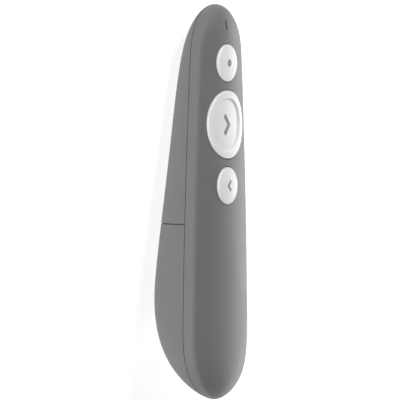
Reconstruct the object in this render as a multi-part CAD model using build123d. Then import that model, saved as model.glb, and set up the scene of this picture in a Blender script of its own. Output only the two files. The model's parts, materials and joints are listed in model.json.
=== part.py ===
from build123d import *
import os
from functools import lru_cache
from math import atan, cos, degrees, hypot, pi, radians, sin

# A hand-held presentation clicker that lies on its back, buttons up.
# All pieces are drawn in the body's own axes: X across the face, Y from the tail tip to the nose tip,
# Z out of the face, with Z = 0 on the parting plane between the upper and the rear casing.
# The finished pieces are then turned about X, so that the straight back lies on the ground. (mm)

# ---- outer form ----
body_length = 131.3
widest_half_width = 18.64
widest_station = 8.4           # where the sides would be widest, before the tail is rounded
side_bow = 0.00038             # how fast the sides close, per mm squared
face_height_at_tail = 6.52     # face above the parting plane
face_taper = 0.0077
back_depth_at_tail = 24.68     # back below the parting plane
back_taper = 0.1361
face_arch = 0.435              # how far the arched face falls at its sides, as a share of its height
shoulder_place = 0.952         # where the arch meets the side wall, as a share of the half width
sharpness_at_tail = 6.0        # of the shoulder between the two
sharpness_at_nose = 9.0
back_squareness = 1.95         # superellipse power of the rear half of a section
tip_rise = 0.6                 # both tips lie a little above the parting plane
tip_rise_reach = 6.0
tip_cap = 0.04                 # each rounded end stops this short of its tip

# How each outline closes at an end: how far in the rounding starts, its power and its root.
tail_plan = (23.6, 2.56, 1.63)
nose_plan = (16.26, 2.13, 2.04)
tail_face = (10.7, 2.41, 2.44)
nose_face = (11.0, 2.2, 2.2)
tail_back = (45.45, 2.46, 1.10)
nose_back = (25.37, 1.95, 1.77)

wall = 1.6
rest_flat_depth = 0.65         # what is planed off the back, as the strip that it rests on
seam_gap = 0.2                 # between the upper casing and both rear pieces
door_station = 58.3            # the cross joint between rear casing and battery door
door_end_gap = 0.3
tab_stations = (68.5, 90.0, 104.0)
tab_length = 5.0
tab_depth = 0.8                # how far the upper casing's tabs reach into the rear casing
tab_thickness = 1.2
tab_gap = 0.1
slip_gap = 0.05                # loose fit of small parts in their pockets

# ---- buttons ----
laser_station = 111.7
next_station = 91.3
previous_station = 71.0
small_button_radius = 6.2
next_button_radius = 11.3
button_gap = 0.22              # all round, in the face
small_dome_proud = 0.85        # crown above the face
small_rim_proud = 0.3
next_rim_proud = 0.55
dish_radius = 8.8
dish_depth = 0.6
dish_edge_round = 0.22
cap_edge_round = 0.4
hole_edge_round = 0.25
flange_width = 1.0
flange_gap = 0.1
flange_bottom = 1.9
stem_radius = 1.5
stem_root = 1.0                # how far the stem runs into the cap
button_travel = 0.4

# ---- circuit board and switches ----
board_top = -1.0
board_thickness = 1.0
board_edge_gap = 1.3
board_start = 65.6
board_end = 121.5
switch_side = 4.6
switch_height = 1.8
switch_corner = 0.5
plunger_radius = 1.1
plunger_rise = 0.45
plunger_depth = 0.3
plunger_fit = 0.05
boss_radius = 2.1
pilot_radius = 0.9
screw_radius = 0.85
screw_length = 4.6
screw_head_radius = 1.8
screw_head_height = 1.1
screw_slot_depth = 0.5
screw_slot_width = 0.5
screw_slot_reach = 0.6         # of the head's radius
board_boss_places = ((10.4, 77.0), (9.6, 106.6))

# ---- chips under the board: place as (across, along), size as (across, along, height) ----
radio_place = (3.0, 84.5)
radio_size = (5.0, 5.0, 0.9)
radio_corner = 0.3
crystal_place = (-3.4, 84.0)
crystal_size = (3.2, 2.5, 0.8)
crystal_corner = 0.4
antenna_place = (0.0, 68.6)
antenna_size = (6.5, 2.2, 1.2)
inductor_place = (-4.0, 95.0)
inductor_size = (4.0, 4.0, 2.0)
inductor_corner = 0.6
driver_place = (3.6, 97.0)
driver_size = (3.0, 3.0, 1.1)
chip_corner = 0.2
capacitor_row_start = (7.6, 82.0)
capacitor_size = (1.0, 0.5, 0.5)
resistor_row_start = (-8.0, 88.0)
resistor_size = (1.0, 0.5, 0.35)
chips_in_row = 6
chip_pitch = 1.6

# ---- laser ----
laser_drop = 1.4               # axis below the parting plane
barrel_radius = 2.0
barrel_bore = 1.5
barrel_start = 115.3
barrel_end = 123.6
lens_thickness = 1.2
lens_setback = 0.5
diode_length = 2.8
diode_cup_depth = 0.6
window_radius = 1.8
window_flange_radius = 2.2
window_flange_start = 126.0
window_flange_thickness = 1.0
window_recess = 0.25
cradle_start = 117.2
cradle_length = 3.0
cradle_half_width = 3.0

# ---- indicator ----
slit_station = 124.15
slit_length = 3.3
slit_width = 0.9
pipe_recess = 0.12
pipe_foot_thickness = 1.0
pipe_foot_side = 4.2
pipe_foot_width = 1.6
led_station = 120.4
led_size = (1.6, 0.8, 0.6)

# ---- battery bay ----
tray_gap = 0.15                # under the parting plane
tray_thickness = 1.0
tray_start = 11.0
tray_end = 53.4
tray_half_width = 13.9
tray_neck_half_width = 10.4
rail_web = 0.8
rail_reach = 1.7
rail_thickness = 1.0
guide_rib_height = 0.9
guide_gap = 0.2
guide_start = 22.0
guide_end = 52.0
bay_gap = 0.3
cell_diameter = 10.5
cell_length = 44.5
cell_side = -6.2
cell_start = 16.6
cell_cap_radius = 2.75
cell_cap_height = 1.0
cell_seal_radius = 4.3
cell_seal_height = 0.5
end_wall_reach = 0.6           # of the cell's radius, below its middle
contact_thickness = 0.3
leaf_width = 5.0
leaf_gap = 0.1
end_wall_thickness = 1.2
tray_screw_side = 2.4
tray_screw_stations = (19.5, 48.5)

# ---- case screws, through tongues of the rear casing that lie under the door ----
tongue_start = 53.8
tongue_inner = 10.8
tongue_outer = 15.2
tongue_top = -1.5
tongue_thickness = 1.5
case_screw_side = 13.0
case_screw_station = 56.1
bulkhead_station = 64.1
bulkhead_thickness = 1.2

# ---- USB receiver, stored beside the cell and turned about its length to follow the door ----
receiver_turn = 38.0
receiver_width = 14.4
receiver_height = 6.1
receiver_cap_length = 6.5
receiver_cap_start = 33.5
receiver_corner = 2.0
plug_width = 12.0
plug_height = 4.5
plug_length = 12.2
plug_sheet = 0.3
plug_window = 2.2
plug_window_spacing = 5.0
plug_window_setback = 5.2
tongue_plate_height = 1.8
tongue_plate_setback = 0.6
gold_strip_width = 1.2
gold_strip_spacing = 2.3
gold_strip_thickness = 0.15
gold_strip_length = 7.5
receiver_wall = 1.0
receiver_board_thickness = 0.8
dock_wall = 1.0
dock_gap = 0.15
dock_mouth_gap = 0.4

far = 200.0                    # half size of the blocks that cut the pieces
overcut = 1.0                  # how far a short cut runs past what it cuts


# ---- the body's form ----

def rounding(distance, inset, shape):
    """Share of the full size at a distance from a rounded end."""
    reach, power, root = shape
    inward = max(0.0, distance - inset) / (reach - inset)
    if inward >= 1:
        return 1.0
    return (1 - (1 - inward) ** power) ** (1 / root)


def ends(station, inset, tail, nose):
    return rounding(station, inset, tail) * rounding(body_length - station, inset, nose)


def half_width(station, inset=0.0):
    straight = widest_half_width - side_bow * (station - widest_station) ** 2
    return (straight - inset) * ends(station, inset, tail_plan, nose_plan)


def face_height(station, inset=0.0):
    straight = face_height_at_tail - face_taper * station
    return (straight - inset) * ends(station, inset, tail_face, nose_face)


def back_depth(station, inset=0.0):
    straight = back_depth_at_tail - back_taper * station
    return (straight - inset) * ends(station, inset, tail_back, nose_back)


def middle_height(station):
    from_tip = min(station, body_length - station)
    return tip_rise * max(0.0, 1 - from_tip / tip_rise_reach) ** 2


def face_share(share, station):
    """Height of the face at a share of the half width, as a share of its height at the middle."""
    arch = 1 - face_arch * share ** 2
    shoulder = 1 - face_arch * shoulder_place ** 2
    side_wall = shoulder * (max(0.0, 1 - share) / (1 - shoulder_place)) ** 0.5
    if side_wall == 0:
        return 0.0
    power = sharpness_at_tail + (sharpness_at_nose - sharpness_at_tail) * station / body_length
    return (arch ** -power + side_wall ** -power) ** (-1 / power)


def face_level(station, side=0.0, inset=0.0):
    """Height of the face at a place across the body."""
    rise = face_share(abs(side) / half_width(station, inset), station)
    return middle_height(station) + face_height(station, inset) * rise


def side_at(station, level, inset=0.0):
    """Half width of the rear half at a level below the parting plane."""
    share = abs(level) / back_depth(station, inset)
    return half_width(station, inset) * (1 - share ** back_squareness) ** (1 / back_squareness)


def face_places():
    """Where the face's outline is set out from the side to the middle, as shares of the half width."""
    wall_steps, arch_steps, crowding = 5, 9, 1.6
    up_the_wall = [1 - (1 - shoulder_place) * (i / wall_steps) ** 2 for i in range(wall_steps)]
    over_the_arch = [shoulder_place * (1 - (i / arch_steps) ** crowding) for i in range(arch_steps + 1)]
    return up_the_wall + over_the_arch


def section(station, inset, back_steps=8):
    """Closed smooth outline across the body, started at the middle of the back."""
    width = half_width(station, inset)
    depth = back_depth(station, inset)
    height = face_height(station, inset)
    root = 2 / back_squareness
    angles = [pi / 2 * i / back_steps for i in range(back_steps)]
    back = [(width * sin(angle) ** root, -depth * cos(angle) ** root) for angle in angles]
    face = [(width * share, height * face_share(share, station)) for share in face_places()]
    one_side = back + face
    other_side = [(-x, z) for x, z in reversed(one_side[1:-1])]
    level = middle_height(station)
    points = [Vector(x, station, level + z) for x, z in one_side + other_side]
    return Wire([Edge.make_spline(points, periodic=True)])


def stations(inset):
    """Places of the sections, closer together towards both tips."""
    first = inset + tip_cap
    last = body_length - inset - tip_cap
    tail_end = tail_back[0]
    nose_end = body_length - nose_back[0]
    end_steps, straight_steps, crowding = 8, 3, 2.5
    tail = [first + (tail_end - first) * (i / end_steps) ** crowding for i in range(end_steps)]
    straight = [tail_end + (nose_end - tail_end) * i / straight_steps for i in range(straight_steps)]
    nose = [last - (last - nose_end) * (1 - i / end_steps) ** crowding for i in range(end_steps + 1)]
    return tail + straight + nose


@lru_cache
def body(inset):
    """The whole body as one solid, shrunk on all sides by the inset."""
    return Solid.make_loft([section(station, inset) for station in stations(inset)])


def block(x_span, y_span, z_span):
    size = [high - low for low, high in (x_span, y_span, z_span)]
    middle = [(high + low) / 2 for low, high in (x_span, y_span, z_span)]
    return Pos(*middle) * Box(*size)


def post(x, y, low, high, radius):
    """Round post square to the face."""
    return Pos(x, y, (low + high) / 2) * Cylinder(radius, high - low)


def shaft(x, z, start, end, radius):
    """Round bar along the body."""
    return Pos(x, (start + end) / 2, z) * Rot(90, 0, 0) * Cylinder(radius, end - start)


def sides():
    return (-1, 1)


def mirrored_pairs(places):
    return [(side * x, y) for x, y in places for side in sides()]


back_angle = atan(back_taper)
back_to_ground = Rot(-degrees(back_angle), 0, 0)
ground_level = -back_depth_at_tail * cos(back_angle) + rest_flat_depth
under_ground = back_to_ground.inverse() * block((-far, far), (-far, far), (-far, ground_level))
outer = body(0) - under_ground
cell_radius = cell_diameter / 2
board_bottom = board_top - board_thickness
laser_level = -laser_drop


def buttons():
    """Station and radius of each button."""
    return (
        (laser_station, small_button_radius),
        (next_station, next_button_radius),
        (previous_station, small_button_radius),
    )


def slot_prism(extra, low, high):
    outline = SlotOverall(slit_length + 2 * extra, slit_width + 2 * extra, rotation=90)
    return Pos(0, slit_station, low) * extrude(outline, high - low)


def window_cutter(extra):
    """The window's outline, used for its pocket in both casings and, with no extra, for the window."""
    flange_end = window_flange_start + window_flange_thickness
    flange = shaft(0, laser_level, window_flange_start - extra, flange_end + extra,
                   window_flange_radius + extra)
    return flange + shaft(0, laser_level, window_flange_start, body_length, window_radius + extra)


def casing(zone, fillings):
    """The hollow body inside a zone, with fillings that stand on its inner wall."""
    return (outer & zone) - (body(wall) - fillings)


def tab_blocks(low, high, into_wall=0.0):
    """Blocks for the upper casing's tabs, between two levels, short of the wall or into it."""
    blocks = []
    for station in tab_stations:
        span = (station - tab_length / 2, station + tab_length / 2)
        face = side_at(span[1], tab_depth, wall) - tab_gap
        for side in sides():
            x_span = sorted((side * (face - tab_thickness), side * (face + into_wall)))
            blocks.append(block(x_span, span, (low, high)))
    return blocks


def screw(x, y, seat):
    """Cross-head screw that points up from its seat."""
    head = post(x, y, seat - screw_head_height, seat, screw_head_radius)
    shank = post(x, y, seat, seat + screw_length, screw_radius)
    arm = screw_head_radius * screw_slot_reach
    half = screw_slot_width / 2
    depth = (seat - screw_head_height, seat - screw_head_height + screw_slot_depth)
    return (head + shank) - [block((x - arm, x + arm), (y - half, y + half), depth),
                             block((x - half, x + half), (y - arm, y + arm), depth)]


def screw_bosses():
    """Places of all bosses on the upper casing with the level of each boss's foot."""
    places = [(x, y, board_top) for x, y in mirrored_pairs(board_boss_places)]
    places += [(side * case_screw_side, case_screw_station, tongue_top) for side in sides()]
    places += [(tray_screw_side, station, -tray_gap) for station in tray_screw_stations]
    return places


def face_rim(piece, station, radius):
    """Edges of a round hole or cap that lie near the face."""
    rim = []
    for edge in piece.edges():
        places = (edge.position_at(0.01), edge.position_at(0.5))
        on_circle = all(abs(hypot(place.X, place.Y - station) - radius) < 0.01 for place in places)
        if on_circle and edge.length > radius:
            if places[1].Z > face_level(places[1].Y, places[1].X) - wall / 2:
                rim.append(edge)
    return rim


def top_shell():
    """Upper casing with its screw bosses and the tabs that line up the rear casing."""
    upper = block((-far, far), (-far, far), (0, far))
    standing = [post(x, y, 0, far, boss_radius) for x, y, low in screw_bosses()]
    shell = casing(upper, standing + tab_blocks(0, tab_thickness, wall))
    hanging = [post(x, y, low, tab_thickness, boss_radius) for x, y, low in screw_bosses()]
    shell += hanging + tab_blocks(-tab_depth, tab_thickness / 2)
    shell -= [post(0, station, 0, far, radius + button_gap) for station, radius in buttons()]
    for station, radius in buttons():
        shell = fillet(face_rim(shell, station, radius + button_gap), hole_edge_round)
    pilots = [post(x, y, low - overcut, low + screw_length, pilot_radius) for x, y, low in screw_bosses()]
    return shell - (pilots + [slot_prism(0, 0, far), window_cutter(slip_gap)])


def back_shell():
    """Rear casing over the electronics, with a bulkhead, the laser's cradle and the screw tongues."""
    low, high = tongue_top - tongue_thickness, tongue_top
    start = door_station + door_end_gap
    fillings = [
        block((-far, far), (bulkhead_station, bulkhead_station + bulkhead_thickness),
              (-far, board_bottom - bay_gap)),
        block((-cradle_half_width, cradle_half_width), (cradle_start, cradle_start + cradle_length),
              (-far, laser_level)),
    ]
    tongue_end = plus_wall_start - bay_gap
    fillings += [block(sorted((side * tongue_inner, side * far)), (start, tongue_end), (low, high))
                 for side in sides()]
    tongues = [block(sorted((side * tongue_inner, side * tongue_outer)), (tongue_start, tongue_end),
                     (low, high)) for side in sides()]
    shell = casing(block((-far, far), (start, far), (-far, -seam_gap)), fillings) + tongues
    cuts = [post(side * case_screw_side, case_screw_station, -far, 0, pilot_radius) for side in sides()]
    cuts.append(shaft(0, laser_level, cradle_start - overcut, cradle_start + cradle_length + overcut,
                      barrel_radius + slip_gap))
    return shell - (cuts + [window_cutter(slip_gap)])


def battery_door():
    """Rear cover over the battery bay, with a guide rib inside each long edge."""
    rib_top = -tray_gap - guide_gap
    ribs = [block(sorted((side * (tray_half_width + guide_gap), side * far)), (guide_start, guide_end),
                  (rib_top - guide_rib_height, rib_top)) for side in sides()]
    return casing(block((-far, far), (-far, door_station), (-far, -seam_gap)), ribs)


def button_base(station, radius):
    """Flange under the face, which stops the button, and the stem over its switch."""
    flange = post(0, station, flange_bottom, far, radius + flange_width) & body(wall + flange_gap)
    stem = post(0, station, board_top + switch_height + plunger_rise + slip_gap,
                flange_bottom + stem_root, stem_radius)
    return flange + stem


def domed_button(station):
    """Small button with a spherical crown, turned from its half profile."""
    radius = small_button_radius
    crown = face_level(station) + small_dome_proud
    sag = small_dome_proud - small_rim_proud
    ball_radius = (radius ** 2 + sag ** 2) / (2 * sag)
    half_way = crown - ball_radius + (ball_radius ** 2 - radius ** 2 / 4) ** 0.5
    dome = ThreePointArc((radius, crown - sag), (radius / 2, half_way), (0, crown))
    sides_and_foot = Polyline((0, crown), (0, flange_bottom), (radius, flange_bottom), (radius, crown - sag))
    profile = make_face(dome + sides_and_foot)
    corner = profile.vertices().sort_by_distance((radius, crown - sag))[0]
    profile = fillet(corner, cap_edge_round)
    cap = revolve(Plane.XZ * profile, axis=Axis.Z)
    return Pos(0, station, 0) * cap + button_base(station, radius)


def laser_button():
    return domed_button(laser_station)


def previous_button():
    return domed_button(previous_station)


def next_button():
    """Large button that follows the face, with a shallow dish inside its rim."""
    cap = post(0, next_station, flange_bottom, far, next_button_radius) & body(-next_rim_proud)
    cap = fillet(face_rim(cap, next_station, next_button_radius), cap_edge_round)
    cap -= post(0, next_station, 0, far, dish_radius) - body(dish_depth - next_rim_proud)
    cap = fillet(face_rim(cap, next_station, dish_radius), dish_edge_round)
    return cap + button_base(next_station, next_button_radius)


def led_light_pipe():
    """Clear blade in the slit, with a foot that runs beside the laser to the indicator lamp."""
    foot_bottom = laser_level + barrel_radius + bay_gap
    foot_top = foot_bottom + pipe_foot_thickness
    head = slot_prism(-slip_gap, foot_bottom, far) & body(pipe_recess)
    half = slit_width / 2 - slip_gap
    arm_side = (pipe_foot_side - pipe_foot_width / 2, pipe_foot_side + pipe_foot_width / 2)
    front = slit_station - slit_length / 2 + slip_gap
    cross_arm = block((-half, arm_side[1]), (front, front + pipe_foot_width), (foot_bottom, foot_top))
    long_arm = block(arm_side, (led_station - pipe_foot_width / 2, front + pipe_foot_width),
                     (foot_bottom, foot_top))
    lamp_top = board_top + led_size[2]
    leg = block(arm_side, (led_station - pipe_foot_width / 2, led_station + pipe_foot_width / 2),
                (lamp_top + slip_gap, foot_top))
    return head + cross_arm + long_arm + leg


def laser_window():
    return window_cutter(0) & body(window_recess)


def laser_barrel():
    tube = shaft(0, laser_level, barrel_start, barrel_end, barrel_radius)
    return tube - shaft(0, laser_level, barrel_start - overcut, barrel_end + overcut, barrel_bore)


def laser_lens():
    end = barrel_end - lens_setback
    return shaft(0, laser_level, end - lens_thickness, end, barrel_bore - slip_gap)


def laser_diode():
    front = barrel_start + diode_length
    can = shaft(0, laser_level, barrel_start, front, barrel_bore - slip_gap)
    return can - shaft(0, laser_level, front - diode_cup_depth, front + overcut, barrel_bore / 2)


def circuit_board():
    """Board that follows the casing's inside, notched at the nose for the laser."""
    plate = body(wall + board_edge_gap) & block((-far, far), (board_start, board_end),
                                                (board_bottom, board_top))
    notch = cradle_half_width + bay_gap
    plate -= block((-notch, notch), (barrel_start - bay_gap, far), (-far, far))
    for x, y in mirrored_pairs(board_boss_places):
        plate -= post(x, y, board_bottom - overcut, board_top + overcut, pilot_radius + slip_gap)
    return plate


def switch_base(station):
    """Square push switch with a round well for its plunger."""
    half = switch_side / 2
    top = board_top + switch_height
    base = block((-half, half), (station - half, station + half), (board_top, top))
    base = chamfer(base.edges().filter_by(Axis.Z), switch_corner)
    well = post(0, station, top - plunger_depth - button_travel - slip_gap, top + overcut,
                plunger_radius + plunger_fit)
    return base - well


def switch_plunger(station):
    top = board_top + switch_height
    return post(0, station, top - plunger_depth, top + plunger_rise, plunger_radius)


def on_board(place, size):
    """Chip soldered under the board."""
    x, y = place
    length_x, length_y, height = size
    return block((x - length_x / 2, x + length_x / 2), (y - length_y / 2, y + length_y / 2),
                 (board_bottom - height, board_bottom))


def chip_row(start, size):
    """Separate small chips in a row along the board."""
    x, y = start
    return Compound(children=[on_board((x, y + i * chip_pitch), size) for i in range(chips_in_row)])


def standing_edges(chip):
    return chip.edges().filter_by(Axis.Z)


def radio_chip():
    return chamfer(standing_edges(on_board(radio_place, radio_size)), radio_corner)


def crystal():
    return fillet(standing_edges(on_board(crystal_place, crystal_size)), crystal_corner)


def chip_antenna():
    return chamfer(standing_edges(on_board(antenna_place, antenna_size)), chip_corner)


def boost_inductor():
    return fillet(standing_edges(on_board(inductor_place, inductor_size)), inductor_corner)


def laser_driver_chip():
    return chamfer(standing_edges(on_board(driver_place, driver_size)), chip_corner)


def chip_capacitors():
    return chip_row(capacitor_row_start, capacitor_size)


def chip_resistors():
    return chip_row(resistor_row_start, resistor_size)


def status_led():
    length_x, length_y, height = led_size
    return block((pipe_foot_side - length_x / 2, pipe_foot_side + length_x / 2),
                 (led_station - length_y / 2, led_station + length_y / 2), (board_top, board_top + height))


# ---- battery bay ----

tray_bottom = -tray_gap - tray_thickness
cell_level = tray_bottom - 2 * slip_gap - cell_radius
cell_end = cell_start + cell_length
plus_wall_start = cell_end + contact_thickness + 2 * slip_gap
half_cap_width = receiver_width / 2
half_cap_height = receiver_height / 2
turn = radians(receiver_turn)
receiver_reach = half_cap_width * cos(turn) + half_cap_height * sin(turn)
receiver_drop = half_cap_width * sin(turn) + half_cap_height * cos(turn)
receiver_side = cell_side + cell_radius + bay_gap + receiver_reach
receiver_level = tray_bottom - 2 * slip_gap - receiver_drop
receiver_axis = Pos(receiver_side, 0, receiver_level) * Rot(0, -receiver_turn, 0)
plug_start = receiver_cap_start + receiver_cap_length
plug_end = plug_start + plug_length


def receiver_block(width, height, start, end, corner=0.0):
    """Bar along the stored receiver, with its four long edges rounded."""
    bar = block((-width / 2, width / 2), (start, end), (-height / 2, height / 2))
    if corner:
        bar = fillet(bar.edges().filter_by(Axis.Y), corner)
    return receiver_axis * bar


def door_passage():
    """What the door's open end leaves free, all along its way."""
    return extrude(make_face(section(door_station, wall + bay_gap)), far, dir=(0, 1, 0), both=True)


def battery_tray():
    """Floor over the cell with the door's rails, both end walls and the receiver's dock."""
    floor = block((-tray_half_width, tray_half_width), (tray_start, tray_end), (tray_bottom, -tray_gap))
    floor += block((-tray_neck_half_width, tray_neck_half_width),
                   (tray_end, plus_wall_start + end_wall_thickness), (tray_bottom, -tray_gap))
    rail_top = -tray_gap - 2 * guide_gap - guide_rib_height
    for side in sides():
        web = sorted((side * (tray_half_width - rail_web), side * tray_half_width))
        rail = sorted((side * (tray_half_width - rail_web), side * (tray_half_width + rail_reach)))
        floor += block(web, (guide_start, guide_end), (rail_top - rail_thickness, -tray_gap))
        floor += block(rail, (guide_start, guide_end), (rail_top - rail_thickness, rail_top))
    cell_span = (cell_side - cell_radius, cell_side + cell_radius)
    wall_bottom = cell_level - end_wall_reach * cell_radius
    floor += block(cell_span, (tray_start, tray_start + end_wall_thickness), (wall_bottom, -tray_gap))
    floor += block(cell_span, (plus_wall_start, plus_wall_start + end_wall_thickness),
                   (wall_bottom, -tray_gap))
    dock_start = plug_start + dock_mouth_gap
    dock_end = plug_end + dock_gap + dock_wall
    cavity_width = plug_width + 2 * dock_gap
    cavity_height = plug_height + 2 * dock_gap
    floor += receiver_block(cavity_width + 2 * dock_wall, cavity_height + 2 * dock_wall, dock_start, dock_end)
    web_side = receiver_side + receiver_drop - half_cap_width
    floor += block((web_side, web_side + 2 * dock_wall), (dock_start, dock_end),
                   (receiver_level + half_cap_height, -tray_gap))
    floor -= receiver_block(cavity_width, cavity_height, dock_start - overcut, plug_end + dock_gap)
    floor = floor & body(wall + bay_gap) & door_passage()
    for station in tray_screw_stations:
        floor -= post(tray_screw_side, station, -far, far, pilot_radius + slip_gap)
    for side in sides():
        floor -= post(side * case_screw_side, case_screw_station, -far, far, boss_radius + bay_gap)
    return floor


def cell_can():
    return shaft(cell_side, cell_level, cell_start, cell_end - cell_cap_height - cell_seal_height, cell_radius)


def cell_seal_ring():
    start = cell_end - cell_cap_height - cell_seal_height
    return shaft(cell_side, cell_level, start, start + cell_seal_height, cell_seal_radius)


def cell_positive_cap():
    return shaft(cell_side, cell_level, cell_end - cell_cap_height, cell_end, cell_cap_radius)


def bent_strip(points, width):
    """Sheet strip folded along points given as (along the body, height), centred on the cell."""
    side_view = Plane(origin=(cell_side, 0, 0), x_dir=(0, 1, 0), z_dir=(1, 0, 0))
    profile = trace(Polyline(*points), line_width=contact_thickness)
    return extrude(side_view * profile, width / 2, both=True)


def positive_contact():
    """Plate against the tray's end wall, with a foot that folds forward under the tray."""
    middle = cell_end + slip_gap + contact_thickness / 2
    high = tray_bottom - slip_gap - contact_thickness / 2
    return bent_strip([(middle, cell_level - leaf_width / 2), (middle, high)], leaf_width)


def negative_contact():
    """Folded leaf: a plate on the tray's end wall and a tongue that bows out to the cell's flat end."""
    plate = tray_start + end_wall_thickness + slip_gap + contact_thickness / 2
    high = cell_level + leaf_width / 2
    low = cell_level - leaf_width / 2
    crest = cell_start - leaf_gap - contact_thickness
    points = [(plate, high), (plate, low), (crest, cell_level), (plate + 3 * contact_thickness, high)]
    return bent_strip(points, leaf_width)


def tray_screws():
    return Compound(children=[screw(tray_screw_side, station, tray_bottom)
                              for station in tray_screw_stations])


def case_screws():
    seat = tongue_top - tongue_thickness
    return Compound(children=[screw(side * case_screw_side, case_screw_station, seat) for side in sides()])


def board_screws():
    return Compound(children=[screw(x, y, board_bottom) for x, y in mirrored_pairs(board_boss_places)])


# ---- receiver ----

def receiver_housing():
    """Cap that is gripped to pull the receiver out, hollow for its board."""
    cap = receiver_block(receiver_width, receiver_height, receiver_cap_start, plug_start, receiver_corner)
    pocket = receiver_block(plug_width - 2 * plug_sheet, plug_height - 2 * plug_sheet,
                            receiver_cap_start + receiver_wall, plug_start + overcut)
    return cap - pocket


def receiver_usb_shell():
    """Folded steel sleeve of the plug with the two square windows on each broad side."""
    sleeve = receiver_block(plug_width, plug_height, plug_start, plug_end)
    sleeve -= receiver_block(plug_width - 2 * plug_sheet, plug_height - 2 * plug_sheet,
                             plug_start - overcut, plug_end + overcut)
    half = plug_window / 2
    middle = plug_start + plug_window_setback
    for side in sides():
        x = side * plug_window_spacing / 2
        sleeve -= receiver_axis * block((x - half, x + half), (middle - half, middle + half), (-far, far))
    return sleeve


def tongue_bottom():
    return plug_sheet + slip_gap - plug_height / 2


def receiver_tongue():
    """Plastic tongue inside the plug."""
    x = plug_width / 2 - plug_sheet - slip_gap
    start = receiver_cap_start + receiver_wall + slip_gap + receiver_cap_length / 2
    return receiver_axis * block((-x, x), (start, plug_end - tongue_plate_setback),
                                 (tongue_bottom(), tongue_bottom() + tongue_plate_height))


def receiver_contacts():
    """Four gold strips on the tongue."""
    low = tongue_bottom() + tongue_plate_height
    end = plug_end - 2 * tongue_plate_setback
    strips = []
    for i in range(4):
        x = (i - 1.5) * gold_strip_spacing
        strips.append(receiver_axis * block((x - gold_strip_width / 2, x + gold_strip_width / 2),
                                            (end - gold_strip_length, end),
                                            (low, low + gold_strip_thickness)))
    return Compound(children=strips)


def receiver_board():
    x = plug_width / 2 - plug_sheet - slip_gap
    start = receiver_cap_start + receiver_wall + slip_gap
    end = receiver_cap_start + receiver_wall + receiver_cap_length / 2
    middle = tongue_bottom() + tongue_plate_height / 2
    return receiver_axis * block((-x, x), (start, end), (middle - receiver_board_thickness / 2,
                                                         middle + receiver_board_thickness / 2))


# ---- all pieces, laid down on the straight back ----

def laid_down(piece):
    """Turns a piece from the body's axes to the ground, with the middle of the body over the origin."""
    box = (back_to_ground * outer).bounding_box()
    return Pos(0, -(box.min.Y + box.max.Y) / 2, -ground_level) * back_to_ground * piece


switch_stations = {"laser": laser_station, "next": next_station, "previous": previous_station}

pieces = {
    "top_shell": top_shell(),
    "back_shell": back_shell(),
    "battery_door": battery_door(),
    "laser_button": laser_button(),
    "next_button": next_button(),
    "previous_button": previous_button(),
    "led_light_pipe": led_light_pipe(),
    "laser_window": laser_window(),
    "laser_barrel": laser_barrel(),
    "laser_lens": laser_lens(),
    "laser_diode": laser_diode(),
    "circuit_board": circuit_board(),
    "radio_chip": radio_chip(),
    "crystal": crystal(),
    "chip_antenna": chip_antenna(),
    "boost_inductor": boost_inductor(),
    "laser_driver_chip": laser_driver_chip(),
    "chip_capacitors": chip_capacitors(),
    "chip_resistors": chip_resistors(),
    "status_led": status_led(),
    "battery_tray": battery_tray(),
    "cell_can": cell_can(),
    "cell_seal_ring": cell_seal_ring(),
    "cell_positive_cap": cell_positive_cap(),
    "positive_contact": positive_contact(),
    "negative_contact": negative_contact(),
    "receiver_housing": receiver_housing(),
    "receiver_usb_shell": receiver_usb_shell(),
    "receiver_tongue": receiver_tongue(),
    "receiver_contacts": receiver_contacts(),
    "receiver_board": receiver_board(),
    "board_screws": board_screws(),
    "case_screws": case_screws(),
    "tray_screws": tray_screws(),
}
for name, station in switch_stations.items():
    pieces[name + "_switch"] = switch_base(station)
    pieces[name + "_plunger"] = switch_plunger(station)

os.makedirs("parts", exist_ok=True)
for name, piece in pieces.items():
    export_step(laid_down(piece), "parts/" + name + ".step")
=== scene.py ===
import json
from math import atan2, cos, pi, radians, sin

import bpy
from mathutils import Matrix, Vector


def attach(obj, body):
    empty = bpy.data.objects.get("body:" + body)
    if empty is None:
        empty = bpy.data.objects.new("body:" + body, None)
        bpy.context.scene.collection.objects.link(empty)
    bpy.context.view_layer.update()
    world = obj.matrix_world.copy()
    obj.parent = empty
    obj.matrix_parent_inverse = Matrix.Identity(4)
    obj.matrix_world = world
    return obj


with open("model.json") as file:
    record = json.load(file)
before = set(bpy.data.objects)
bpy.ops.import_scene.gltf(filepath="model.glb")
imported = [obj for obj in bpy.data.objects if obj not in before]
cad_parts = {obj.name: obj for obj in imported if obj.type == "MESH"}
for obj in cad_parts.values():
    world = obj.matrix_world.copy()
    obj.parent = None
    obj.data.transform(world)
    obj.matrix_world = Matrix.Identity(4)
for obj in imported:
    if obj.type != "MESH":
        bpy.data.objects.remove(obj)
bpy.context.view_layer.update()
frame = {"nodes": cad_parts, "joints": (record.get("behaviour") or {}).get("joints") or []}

# A presentation clicker that lies on its back. The casing leans a few degrees from the ground line,
# so patterns and printed marks are laid out in the face's own axes: X across, Y to the nose, Z out.
# All lengths are in metres.

nodes = frame["nodes"]

mm = 0.001
press = next(Vector(joint["axis"]) for joint in frame["joints"] if joint["name"] == "next_press")
face_tilt = atan2(-press.y, -press.z)
to_face = Matrix.Rotation(face_tilt, 4, "X")
from_face = to_face.inverted()

# ---- view ----
view_azimuth = -96.20
view_elevation = 29.75
view_roll = 100.02              # turns the nose up
view_width = 132.69 * mm        # what the camera takes in at the object
view_centre = Vector((-4.52, 0.21, 12.91)) * mm
view_distance = 2.5
view_reach = 20.0
sensor_width = 36.0

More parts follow.
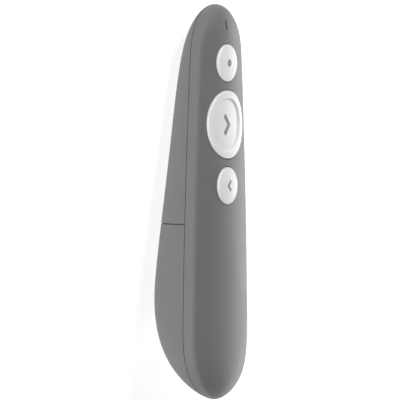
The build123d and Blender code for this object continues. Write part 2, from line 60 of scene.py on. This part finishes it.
# ---- light ----
lamp_distance = 0.9
lamp_size = (0.42, 0.36)
lamps = {                       # azimuth, elevation, watts
    "left_lamp": (-90, 10, 2.3),
    "left_front_lamp": (-60, 10, 3.5),
    "right_lamp": (90, 10, 3.0),
    "right_front_lamp": (60, 10, 2.0),
    "nose_lamp": (180, 35, 4.8),
    "nose_side_lamp": (150, 35, 0.9),
}
floor_glow = 0.5                # what the white floor gives back to the object
floor_shown = 0.71              # what the camera and reflections see of it, before the lamps add theirs
floor_size = 8.0
floor_drop = 0.02 * mm          # keeps the floor clear of the casing
floor_level = 0.8               # grey of the floor's own colour
world_glow = 0.02               # what the white surroundings give to the object
world_shown = 1.0               # what the camera and reflections see of them

# ---- printed marks ----
ink_thickness = 0.04 * mm       # half of it keyed into the button
mark_lift = 5 * mm              # above the button, before the mark is laid down on it
dot_radius = 1.26 * mm
dot_aside = 0.1 * mm
dot_corners = 64
dot_rings, ring_share = 4, 0.22
chevron_cuts = 8
next_mark = {"tip": 2.1 * mm, "half_height": 3.68 * mm, "stroke": 1.6 * mm, "lean": radians(49)}
previous_mark = {"tip": -1.45 * mm, "half_height": 2.02 * mm, "stroke": 0.92 * mm, "lean": radians(44)}


# ---- shader helpers ----

def shader(tree, kind, inputs=None, **settings):
    """A shader node. Each input is a constant or the output of another node."""
    made = tree.nodes.new("ShaderNode" + kind)
    for name, value in settings.items():
        setattr(made, name, value)
    for name, value in (inputs or {}).items():
        if isinstance(value, bpy.types.NodeSocket):
            tree.links.new(value, made.inputs[name])
        else:
            made.inputs[name].default_value = value
    return made


def maths(tree, operation, first, second=0.0, third=0.0):
    inputs = {0: first, 1: second, 2: third}
    return shader(tree, "Math", inputs, operation=operation).outputs[0]


def spread(tree, value, low, high, to_low=0.0, to_high=1.0):
    """The value stretched from one range to another and held inside it."""
    inputs = {"Value": value, "From Min": low, "From Max": high, "To Min": to_low, "To Max": to_high}
    return shader(tree, "MapRange", inputs).outputs["Result"]


def mixed(tree, share, first, second):
    """Between two colours."""
    return shader(tree, "Mix", {0: share, 6: first, 7: second}, data_type="RGBA").outputs[2]


def noise(tree, where, size, detail=2.0, roughness=0.5):
    inputs = {"Vector": where, "Scale": maths(tree, "DIVIDE", 1.0, size), "Detail": detail,
              "Roughness": roughness}
    return shader(tree, "TexNoise", inputs).outputs["Fac"]


def grey(level):
    return (level, level, level, 1.0)


def new_group(name, inputs, outputs):
    """An empty shader group. Inputs and outputs are names with socket kinds and default values."""
    group = bpy.data.node_groups.new(name, "ShaderNodeTree")
    for label, kind, value in inputs:
        socket = group.interface.new_socket(label, in_out="INPUT", socket_type="NodeSocket" + kind)
        if value is not None:
            socket.default_value = value
    for label, kind in outputs:
        group.interface.new_socket(label, in_out="OUTPUT", socket_type="NodeSocket" + kind)
    given = group.nodes.new("NodeGroupInput").outputs
    wanted = group.nodes.new("NodeGroupOutput").inputs
    return group, given, wanted


def placed(tree, group, inputs):
    """A shader group placed in a material with its own values."""
    return shader(tree, "Group", inputs, node_tree=group).outputs


def lit_or_shown(tree, glow, shown):
    """One strength as light on the object, another to the camera, in reflections and through glass."""
    paths = shader(tree, "LightPath").outputs
    direct = maths(tree, "MAXIMUM", maths(tree, "MAXIMUM", paths["Is Camera Ray"], paths["Is Glossy Ray"]),
                   paths["Is Transmission Ray"])
    return spread(tree, direct, 0.0, 1.0, glow, shown)


# ---- shared effects ----

def moulded_grain_group():
    """Spark-eroded mould texture: fine grain over slightly larger pits."""
    group, given, wanted = new_group(
        "moulded grain",
        [("Where", "Vector", None), ("Grain Size", "Float", 0.0003)],
        [("Height", "Float"), ("Fleck", "Float")],
    )
    fine = noise(group, given["Where"], given["Grain Size"], 3.0, 0.65)
    pit_size = maths(group, "MULTIPLY", given["Grain Size"], 2.6)
    pits = noise(group, given["Where"], pit_size, 1.0)
    height = maths(group, "MULTIPLY_ADD", fine, 0.7, maths(group, "MULTIPLY", pits, 0.5))
    group.links.new(height, wanted["Height"])
    group.links.new(spread(group, fine, 0.35, 0.65), wanted["Fleck"])
    return group


def colour_drift_group():
    """Slow change of a colour over the surface, as moulding leaves it."""
    group, given, wanted = new_group(
        "colour drift",
        [("Where", "Vector", None), ("Colour", "Color", grey(0.5)), ("Patch Size", "Float", 0.02),
         ("Amount", "Float", 0.05)],
        [("Colour", "Color")],
    )
    patches = noise(group, given["Where"], given["Patch Size"], 2.0, 0.6)
    shift = maths(group, "MULTIPLY_ADD", maths(group, "SUBTRACT", patches, 0.5), given["Amount"], 1.0)
    scaled = shader(group, "VectorMath", {0: given["Colour"], "Scale": shift}, operation="SCALE")
    group.links.new(scaled.outputs[0], wanted["Colour"])
    return group


def edge_wear_and_highlight_group():
    """Mask of convex and concave edges, broken up by noise: where edges are painted paler, partly as wear
    and partly as a painted highlight.
    """
    group, given, wanted = new_group(
        "edge wear and highlight",
        [("Where", "Vector", None), ("Width", "Float", 0.0003), ("Break Up Size", "Float", 0.002)],
        [("Mask", "Float")],
    )
    rounded = shader(group, "Bevel", {"Radius": given["Width"]}, samples=4).outputs["Normal"]
    true = shader(group, "NewGeometry").outputs["True Normal"]
    turn = shader(group, "VectorMath", {0: rounded, 1: true}, operation="DOT_PRODUCT").outputs["Value"]
    edge_wear_and_highlight_mask = spread(group, turn, 0.995, 0.86)
    broken = spread(group, noise(group, given["Where"], given["Break Up Size"], 3.0), 0.38, 0.62, 0.35, 1.0)
    group.links.new(maths(group, "MULTIPLY", edge_wear_and_highlight_mask, broken), wanted["Mask"])
    return group


def handling_group():
    """Roughness that fingers have polished in soft patches."""
    group, given, wanted = new_group(
        "handling",
        [("Where", "Vector", None), ("Roughness", "Float", 0.5), ("Amount", "Float", 0.08)],
        [("Roughness", "Float")],
    )
    broad = noise(group, given["Where"], 14 * mm, 2.0)
    smudges = noise(group, given["Where"], 3.5 * mm, 4.0, 0.6)
    both = maths(group, "MULTIPLY_ADD", broad, 0.6, maths(group, "MULTIPLY", smudges, 0.4))
    shift = maths(group, "MULTIPLY", maths(group, "SUBTRACT", both, 0.5), given["Amount"])
    total = maths(group, "MULTIPLY_ADD", shift, 2.0, given["Roughness"])
    group.links.new(total, wanted["Roughness"])
    return group


def drawn_metal_group():
    """Fine lines along one axis, as rolling or turning leaves them."""
    group, given, wanted = new_group(
        "drawn metal",
        [("Where", "Vector", None), ("Line Width", "Float", 0.00006), ("Stretch", "Vector", (1, 1, 1))],
        [("Lines", "Float")],
    )
    squeezed = shader(group, "VectorMath", {0: given["Where"], 1: given["Stretch"]}, operation="MULTIPLY")
    lines = noise(group, squeezed.outputs[0], given["Line Width"], 3.0, 0.7)
    group.links.new(spread(group, lines, 0.3, 0.7), wanted["Lines"])
    return group


grain_effect = moulded_grain_group()
drift_effect = colour_drift_group()
edge_wear_and_highlight_effect = edge_wear_and_highlight_group()
handling_effect = handling_group()
lines_effect = drawn_metal_group()


# ---- materials ----

def new_material(name):
    """A material with its tree, its Principled BSDF and Object coordinates."""
    material = bpy.data.materials.new(name)
    material.use_nodes = True
    tree = material.node_tree
    surface = tree.nodes["Principled BSDF"]
    where = shader(tree, "TexCoord").outputs["Object"]
    return material, tree, surface, where


def face_axes(tree, where):
    """Object coordinates turned to the face's axes."""
    return shader(tree, "Mapping", {"Vector": where, "Rotation": (face_tilt, 0, 0)}).outputs["Vector"]


def bump(tree, height, strength, depth):
    inputs = {"Height": height, "Strength": strength, "Distance": depth}
    return shader(tree, "Bump", inputs).outputs["Normal"]


def connect(tree, surface, links):
    for name, socket in links.items():
        tree.links.new(socket, surface.inputs[name])


def moulded_plastic(name, colour, worn_and_lit, roughness, grain, depth, drift=0.05, patch=20 * mm, polish=0.06,
                    sheen=0.5):
    """Moulded plastic: grain, slow colour drift, finger polish, and paler edges that are partly wear and
    partly a painted highlight.
    """
    fleck_share, edge_wear_and_highlight_share, edge_wear_and_highlight_width, wear_polish = 0.05, 0.35, 0.3 * mm, -0.08
    material, tree, surface, where = new_material(name)
    surface.inputs["Specular IOR Level"].default_value = sheen
    texture = placed(tree, grain_effect, {"Where": where, "Grain Size": grain})
    base = placed(tree, drift_effect, {"Where": where, "Colour": (*colour, 1.0), "Patch Size": patch,
                                       "Amount": drift})["Colour"]
    flecked = mixed(tree, maths(tree, "MULTIPLY", texture["Fleck"], fleck_share), base, (*worn_and_lit, 1.0))
    edge_wear_and_highlight_mask = placed(tree, edge_wear_and_highlight_effect, {"Where": where, "Width": edge_wear_and_highlight_width})["Mask"]
    # paler colour on convex and concave edges: partly wear, partly a painted highlight along the edges
    worn_and_highlighted = mixed(tree, maths(tree, "MULTIPLY", edge_wear_and_highlight_mask, edge_wear_and_highlight_share), flecked, (*worn_and_lit, 1.0))
    handled = placed(tree, handling_effect, {"Where": where, "Roughness": roughness, "Amount": polish})
    smoother = maths(tree, "MULTIPLY_ADD", edge_wear_and_highlight_mask, wear_polish, handled["Roughness"])
    relief = bump(tree, texture["Height"], 0.5, depth)
    connect(tree, surface, {"Base Color": worn_and_highlighted, "Roughness": smoother, "Normal": relief})
    return material


def bare_metal(name, colour, roughness, stretch, line=0.06 * mm, relief=0.25):
    """Metal with drawn or turned lines, slightly duller in patches."""
    dull_share = 0.72
    material, tree, surface, where = new_material(name)
    surface.inputs["Metallic"].default_value = 1.0
    along = face_axes(tree, where)
    lines = placed(tree, lines_effect, {"Where": along, "Line Width": line, "Stretch": stretch})["Lines"]
    base = placed(tree, drift_effect, {"Where": where, "Colour": (*colour, 1.0), "Patch Size": 2 * mm,
                                       "Amount": 0.12})["Colour"]
    duller = tuple(dull_share * part for part in colour)
    toned = mixed(tree, maths(tree, "MULTIPLY", lines, 0.25), base, (*duller, 1.0))
    handled = placed(tree, handling_effect, {"Where": where, "Roughness": roughness, "Amount": 0.1})
    rough = maths(tree, "MULTIPLY_ADD", lines, 0.1, handled["Roughness"])
    height = bump(tree, lines, relief, 0.004 * mm)
    connect(tree, surface, {"Base Color": toned, "Roughness": rough, "Normal": height})
    return material


def clear_plastic(name, colour, roughness, ior):
    """Clear moulded plastic with faint flow marks."""
    material, tree, surface, where = new_material(name)
    surface.inputs["Transmission Weight"].default_value = 1.0
    surface.inputs["IOR"].default_value = ior
    base = placed(tree, drift_effect, {"Where": where, "Colour": (*colour, 1.0), "Patch Size": 1 * mm,
                                       "Amount": 0.06})["Colour"]
    flow = noise(tree, where, 0.9 * mm, 2.0)
    rough = spread(tree, flow, 0.3, 0.7, roughness, roughness + 0.06)
    connect(tree, surface, {"Base Color": base, "Roughness": rough,
                            "Normal": bump(tree, flow, 0.08, 0.01 * mm)})
    return material


def smoked_plastic():
    """Dark tinted insert with a glossy skin and hair scratches."""
    material, tree, surface, where = new_material("smoked_lens")
    surface.inputs["Specular IOR Level"].default_value = 0.25
    base = placed(tree, drift_effect, {"Where": where, "Colour": (0.022, 0.021, 0.022, 1.0),
                                       "Patch Size": 1.2 * mm, "Amount": 0.5})["Colour"]
    along = face_axes(tree, where)
    scratches = placed(tree, lines_effect, {"Where": along, "Line Width": 0.05 * mm,
                                            "Stretch": (1.0, 0.1, 1.0)})["Lines"]
    rough = spread(tree, scratches, 0.0, 1.0, 0.3, 0.42)
    connect(tree, surface, {"Base Color": base, "Roughness": rough,
                            "Normal": bump(tree, scratches, 0.1, 0.003 * mm)})
    return material


def printed_ink():
    """Grey pad-printed ink with a soft screen of pinholes."""
    material, tree, surface, where = new_material("mark_ink")
    screen = noise(tree, where, 0.18 * mm, 2.0)
    base = mixed(tree, spread(tree, screen, 0.62, 0.74), (0.165, 0.167, 0.172, 1.0), (0.3, 0.3, 0.31, 1.0))
    rough = spread(tree, screen, 0.3, 0.7, 0.42, 0.58)
    connect(tree, surface, {"Base Color": base, "Roughness": rough,
                            "Normal": bump(tree, screen, 0.3, 0.004 * mm)})
    return material


def solder_mask():
    """Green mask over copper tracks, with tinned vias and a bare glass-fibre edge."""
    material, tree, surface, where = new_material("board_green")
    surface.inputs["Coat Weight"].default_value = 0.3
    along = face_axes(tree, where)
    brick = {"Vector": along, "Scale": 1.0, "Mortar Size": 0.08 * mm, "Mortar Smooth": 0.1,
             "Brick Width": 3.4 * mm, "Row Height": 0.9 * mm}
    across = shader(tree, "TexBrick", brick, offset=0.37, squash=1.6, squash_frequency=3).outputs["Fac"]
    turned = shader(tree, "Mapping", {"Vector": along, "Rotation": (0, 0, pi / 2)}).outputs["Vector"]
    lengthwise = shader(tree, "TexBrick", {**brick, "Vector": turned, "Brick Width": 5.2 * mm,
                                           "Row Height": 1.7 * mm}, offset=0.21).outputs["Fac"]
    tracks = maths(tree, "MAXIMUM", across, lengthwise)
    dots = shader(tree, "TexVoronoi", {"Vector": along, "Scale": 1 / (2.3 * mm)}).outputs["Distance"]
    vias = spread(tree, dots, 0.16, 0.13)
    mask = placed(tree, drift_effect, {"Where": where, "Colour": (0.018, 0.12, 0.05, 1.0),
                                       "Patch Size": 4 * mm, "Amount": 0.2})["Colour"]
    tracked = mixed(tree, maths(tree, "MULTIPLY", tracks, 0.8), mask, (0.05, 0.27, 0.1, 1.0))
    pinned = mixed(tree, vias, tracked, (0.62, 0.6, 0.55, 1.0))
    facing = shader(tree, "NewGeometry").outputs["True Normal"]
    level = shader(tree, "VectorMath", {0: facing, 1: tuple(-press)}, operation="DOT_PRODUCT")
    side = spread(tree, maths(tree, "ABSOLUTE", level.outputs["Value"]), 0.7, 0.5)
    weave = noise(tree, where, 0.25 * mm, 3.0)
    fibre = mixed(tree, weave, (0.42, 0.36, 0.19, 1.0), (0.6, 0.54, 0.34, 1.0))
    base = mixed(tree, side, pinned, fibre)
    rough = maths(tree, "MULTIPLY_ADD", side, 0.35, spread(tree, tracks, 0.0, 1.0, 0.36, 0.28))
    connect(tree, surface, {"Base Color": base, "Roughness": rough,
                            "Normal": bump(tree, tracks, 0.4, 0.03 * mm)})
    return material


def cell_sleeve():
    """Printed shrink sleeve: dark body, copper band towards the cap, a pale pinstripe beside it."""
    material, tree, surface, where = new_material("cell_sleeve")
    surface.inputs["Coat Weight"].default_value = 0.5
    surface.inputs["Coat Roughness"].default_value = 0.12
    low, high = face_box("cell_can")
    length = high.y - low.y
    along = shader(tree, "SeparateXYZ", {0: face_axes(tree, where)}).outputs["Y"]
    share = spread(tree, along, low.y, high.y)
    copper_start, copper_end, soft_edge = 0.62, 0.86, 0.002
    stripe_width, rim_width = 0.018, 0.8 * mm / length
    copper = maths(tree, "MINIMUM", spread(tree, share, copper_start, copper_start + soft_edge),
                   spread(tree, share, copper_end, copper_end - soft_edge))
    stripe = maths(tree, "COMPARE", share, copper_start, stripe_width / 2)
    rims = maths(tree, "GREATER_THAN", maths(tree, "ABSOLUTE", maths(tree, "SUBTRACT", share, 0.5)),
                 0.5 - rim_width)
    body = placed(tree, drift_effect, {"Where": where, "Colour": (0.05, 0.055, 0.065, 1.0),
                                       "Patch Size": 0.003, "Amount": 0.15})["Colour"]
    band = placed(tree, drift_effect, {"Where": where, "Colour": (0.55, 0.27, 0.12, 1.0),
                                       "Patch Size": 0.002, "Amount": 0.15})["Colour"]
    printed = mixed(tree, copper, body, band)
    striped = mixed(tree, stripe, printed, (0.7, 0.7, 0.68, 1.0))
    base = mixed(tree, rims, striped, (0.5, 0.5, 0.5, 1.0))
    metal = maths(tree, "MAXIMUM", maths(tree, "MULTIPLY", copper, 0.6), rims)
    wrinkles = noise(tree, where, 1.2 * mm, 3.0, 0.7)
    rough = spread(tree, wrinkles, 0.3, 0.7, 0.24, 0.36)
    connect(tree, surface, {"Base Color": base, "Roughness": rough, "Metallic": metal,
                            "Normal": bump(tree, wrinkles, 0.15, 0.03 * mm)})
    return material


def face_box(name):
    """Lowest and highest corner of a CAD node in the face's axes."""
    places = [to_face @ vertex.co for vertex in nodes[name].data.vertices]
    low = Vector(min(place[i] for place in places) for i in range(3))
    high = Vector(max(place[i] for place in places) for i in range(3))
    return low, high


def finishes():
    """Every material slot of the record with its finished material."""
    across, along, round_y = (0.04, 1.0, 1.0), (1.0, 0.04, 1.0), (0.1, 1.0, 0.1)
    return {
        "casing_grey": moulded_plastic("casing_grey", (0.159, 0.16, 0.163), (0.25, 0.25, 0.255), 0.56,
                                       0.32 * mm, 0.03 * mm, drift=0.05, sheen=0.3),
        "button_white": moulded_plastic("button_white", (0.89, 0.893, 0.897), (0.94, 0.94, 0.94), 0.42,
                                        0.25 * mm, 0.008 * mm, drift=0.025, polish=0.05, sheen=0.4),
        "smoked_lens": smoked_plastic(),
        "clear_lens": clear_plastic("clear_lens", (0.85, 0.55, 0.55), 0.03, 1.49),
        "lamp_clear": clear_plastic("lamp_clear", (0.8, 0.9, 0.8), 0.12, 1.5),
        "board_green": solder_mask(),
        "chip_black": moulded_plastic("chip_black", (0.028, 0.028, 0.03), (0.12, 0.12, 0.12), 0.48,
                                      0.12 * mm, 0.02 * mm, drift=0.3, patch=0.001),
        "ceramic_tan": moulded_plastic("ceramic_tan", (0.5, 0.37, 0.22), (0.62, 0.5, 0.35), 0.4,
                                       0.08 * mm, 0.006 * mm, drift=0.15, patch=0.0008),
        "ceramic_white": moulded_plastic("ceramic_white", (0.76, 0.76, 0.72), (0.85, 0.85, 0.83), 0.38,
                                         0.1 * mm, 0.006 * mm, drift=0.06, patch=0.001),
        "plated_steel": bare_metal("plated_steel", (0.66, 0.65, 0.63), 0.24, along),
        "spring_bronze": bare_metal("spring_bronze", (0.68, 0.6, 0.46), 0.26, along),
        "barrel_brass": bare_metal("barrel_brass", (0.72, 0.53, 0.26), 0.22, round_y, 0.12 * mm, 0.5),
        "tray_black": moulded_plastic("tray_black", (0.03, 0.031, 0.033), (0.09, 0.09, 0.092), 0.5,
                                      0.3 * mm, 0.02 * mm, drift=0.15),
        "cell_sleeve": cell_sleeve(),
        "receiver_black": moulded_plastic("receiver_black", (0.026, 0.026, 0.028), (0.08, 0.08, 0.08),
                                          0.36, 0.2 * mm, 0.01 * mm, drift=0.15),
        "tongue_white": moulded_plastic("tongue_white", (0.72, 0.72, 0.7), (0.82, 0.82, 0.8), 0.4,
                                        0.15 * mm, 0.008 * mm),
        "gold_contact": bare_metal("gold_contact", (0.9, 0.66, 0.28), 0.16, along),
        "screw_steel": bare_metal("screw_steel", (0.2, 0.2, 0.21), 0.34, across),
    }


def node_slots():
    """Each CAD node with the record's slot that it was given."""
    return {name: node.material_slots[0].material.name.split(".")[0] for name, node in nodes.items()}


# ---- modelling helpers ----

def deselect():
    if bpy.context.object and bpy.context.object.mode != "OBJECT":
        bpy.ops.object.mode_set(mode="OBJECT")
    bpy.ops.object.select_all(action="DESELECT")


def make_active(piece):
    deselect()
    piece.select_set(True)
    bpy.context.view_layer.objects.active = piece


def in_edit_mode(piece):
    make_active(piece)
    bpy.ops.object.mode_set(mode="EDIT")
    bpy.ops.mesh.select_all(action="SELECT")


def modify(piece, kind, **settings):
    """Adds a modifier and applies it."""
    modifier = piece.modifiers.new(kind.lower(), kind)
    for name, value in settings.items():
        setattr(modifier, name, value)
    make_active(piece)
    bpy.ops.object.modifier_apply(modifier=modifier.name)


def settle(piece, name, material, body):
    """Applies a piece's place to its mesh, then gives it its name, finish and body."""
    make_active(piece)
    bpy.ops.object.transform_apply(location=True, rotation=True, scale=True)
    piece.name = name
    piece.data.name = name
    piece.data.materials.clear()
    piece.data.materials.append(material)
    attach(piece, body)


# ---- printed marks ----

def on_button(piece, node, aside=0.0):
    """Lays a flat mark on a button's face and gives it the ink's thickness."""
    low, high = face_box(node)
    above = Vector(((low.x + high.x) / 2 + aside, (low.y + high.y) / 2, high.z + mark_lift))
    piece.matrix_world = from_face @ Matrix.Translation(above)
    modify(piece, "SHRINKWRAP", target=nodes[node], wrap_method="PROJECT", use_project_z=True,
           use_negative_direction=True, use_positive_direction=False)
    modify(piece, "SOLIDIFY", thickness=ink_thickness, offset=0.0)


def dot_mark():
    """Round dot on the laser button."""
    deselect()
    bpy.ops.mesh.primitive_circle_add(vertices=dot_corners, radius=dot_radius, fill_type="NGON")
    dot = bpy.context.object
    in_edit_mode(dot)
    for _ in range(dot_rings):
        bpy.ops.mesh.inset(thickness=dot_radius * ring_share)
    bpy.ops.object.mode_set(mode="OBJECT")
    on_button(dot, "laser_button", dot_aside)
    settle(dot, "laser_button_dot", ink, "laser_key")


def chevron_mark(name, node, body, tip, half_height, stroke, lean):
    """Two mitred strokes that meet at a tip on the button's middle line."""
    towards = 1 if tip > 0 else -1
    length = half_height / sin(lean)
    along = Vector((-towards * cos(lean), sin(lean), 0))
    inwards = Vector((-towards * sin(lean), -cos(lean), 0))
    middle = Vector((tip, 0, 0)) + along * length / 2 + inwards * stroke / 2
    deselect()
    bpy.ops.mesh.primitive_plane_add(size=1, location=middle, rotation=(0, 0, -towards * lean))
    mark = bpy.context.object
    mark.scale = (length, stroke, 1)
    bpy.ops.object.transform_apply(location=True, rotation=True, scale=True)
    in_edit_mode(mark)
    bpy.ops.mesh.bisect(plane_co=(0, 0, 0), plane_no=(0, 1, 0), clear_inner=True)
    bpy.ops.mesh.select_all(action="SELECT")
    bpy.ops.mesh.subdivide(number_cuts=chevron_cuts)
    bpy.ops.object.mode_set(mode="OBJECT")
    modify(mark, "MIRROR", use_axis=(False, True, False), merge_threshold=0.001 * mm)
    on_button(mark, node)
    settle(mark, name, ink, body)


# ---- stage ----

def outwards(azimuth, elevation):
    """Direction from the object towards a place around it, by angles in degrees."""
    around, up = radians(azimuth), radians(elevation)
    return Vector((sin(around) * cos(up), -cos(around) * cos(up), sin(up)))


def soft_light(name, azimuth, elevation, watts):
    """Rectangular studio light turned to the object."""
    deselect()
    back = outwards(azimuth, elevation)
    place = view_centre + back * lamp_distance
    turn = back.to_track_quat("Z", "Y").to_euler()
    bpy.ops.object.light_add(type="AREA", location=place, rotation=turn)
    light = bpy.context.object
    light.name = name
    light.data.shape = "RECTANGLE"
    light.data.size, light.data.size_y = lamp_size
    light.data.energy = watts


def studio_floor():
    """Pale floor that reads as white to the camera and still takes a soft shadow."""
    deselect()
    bpy.ops.mesh.primitive_plane_add(size=floor_size, location=(0, 0, -floor_drop))
    floor = bpy.context.object
    floor.name = "studio_floor"
    material, tree, surface, _ = new_material("studio_floor")
    surface.inputs["Roughness"].default_value = 0.9
    surface.inputs["Base Color"].default_value = grey(floor_level)
    surface.inputs["Specular IOR Level"].default_value = 0.1
    surface.inputs["Emission Color"].default_value = grey(1.0)
    connect(tree, surface, {"Emission Strength": lit_or_shown(tree, floor_glow, floor_shown)})
    floor.data.materials.append(material)


def studio_world():
    """Even white surroundings, dimmer as light than they look to the camera."""
    world = bpy.data.worlds.new("studio")
    bpy.context.scene.world = world
    world.use_nodes = True
    tree = world.node_tree
    background = tree.nodes["Background"]
    background.inputs["Color"].default_value = grey(1.0)
    tree.links.new(lit_or_shown(tree, world_glow, world_shown), background.inputs["Strength"])


def camera():
    """Long lens from the object's left, turned so that the nose is up."""
    back = outwards(view_azimuth, view_elevation)
    turn = (-back).to_track_quat("-Z", "Y").to_matrix() @ Matrix.Rotation(radians(view_roll), 3, "Z")
    deselect()
    bpy.ops.object.camera_add(location=view_centre + back * view_distance, rotation=turn.to_euler())
    made = bpy.context.object
    made.data.sensor_width = sensor_width
    made.data.lens = sensor_width * view_distance / view_width
    made.data.clip_end = view_reach
    bpy.context.scene.camera = made


camera()
studio_floor()
studio_world()
for name, (azimuth, elevation, watts) in lamps.items():
    soft_light(name, azimuth, elevation, watts)
bpy.context.scene.view_settings.view_transform = "Standard"

slots = node_slots()
finish_of = finishes()
for name, node in nodes.items():
    node.material_slots[0].material = finish_of[slots[name]]

ink = printed_ink()
dot_mark()
chevron_mark("next_button_chevron", "next_button", "next_key", **next_mark)
chevron_mark("previous_button_chevron", "previous_button", "previous_key", **previous_mark)
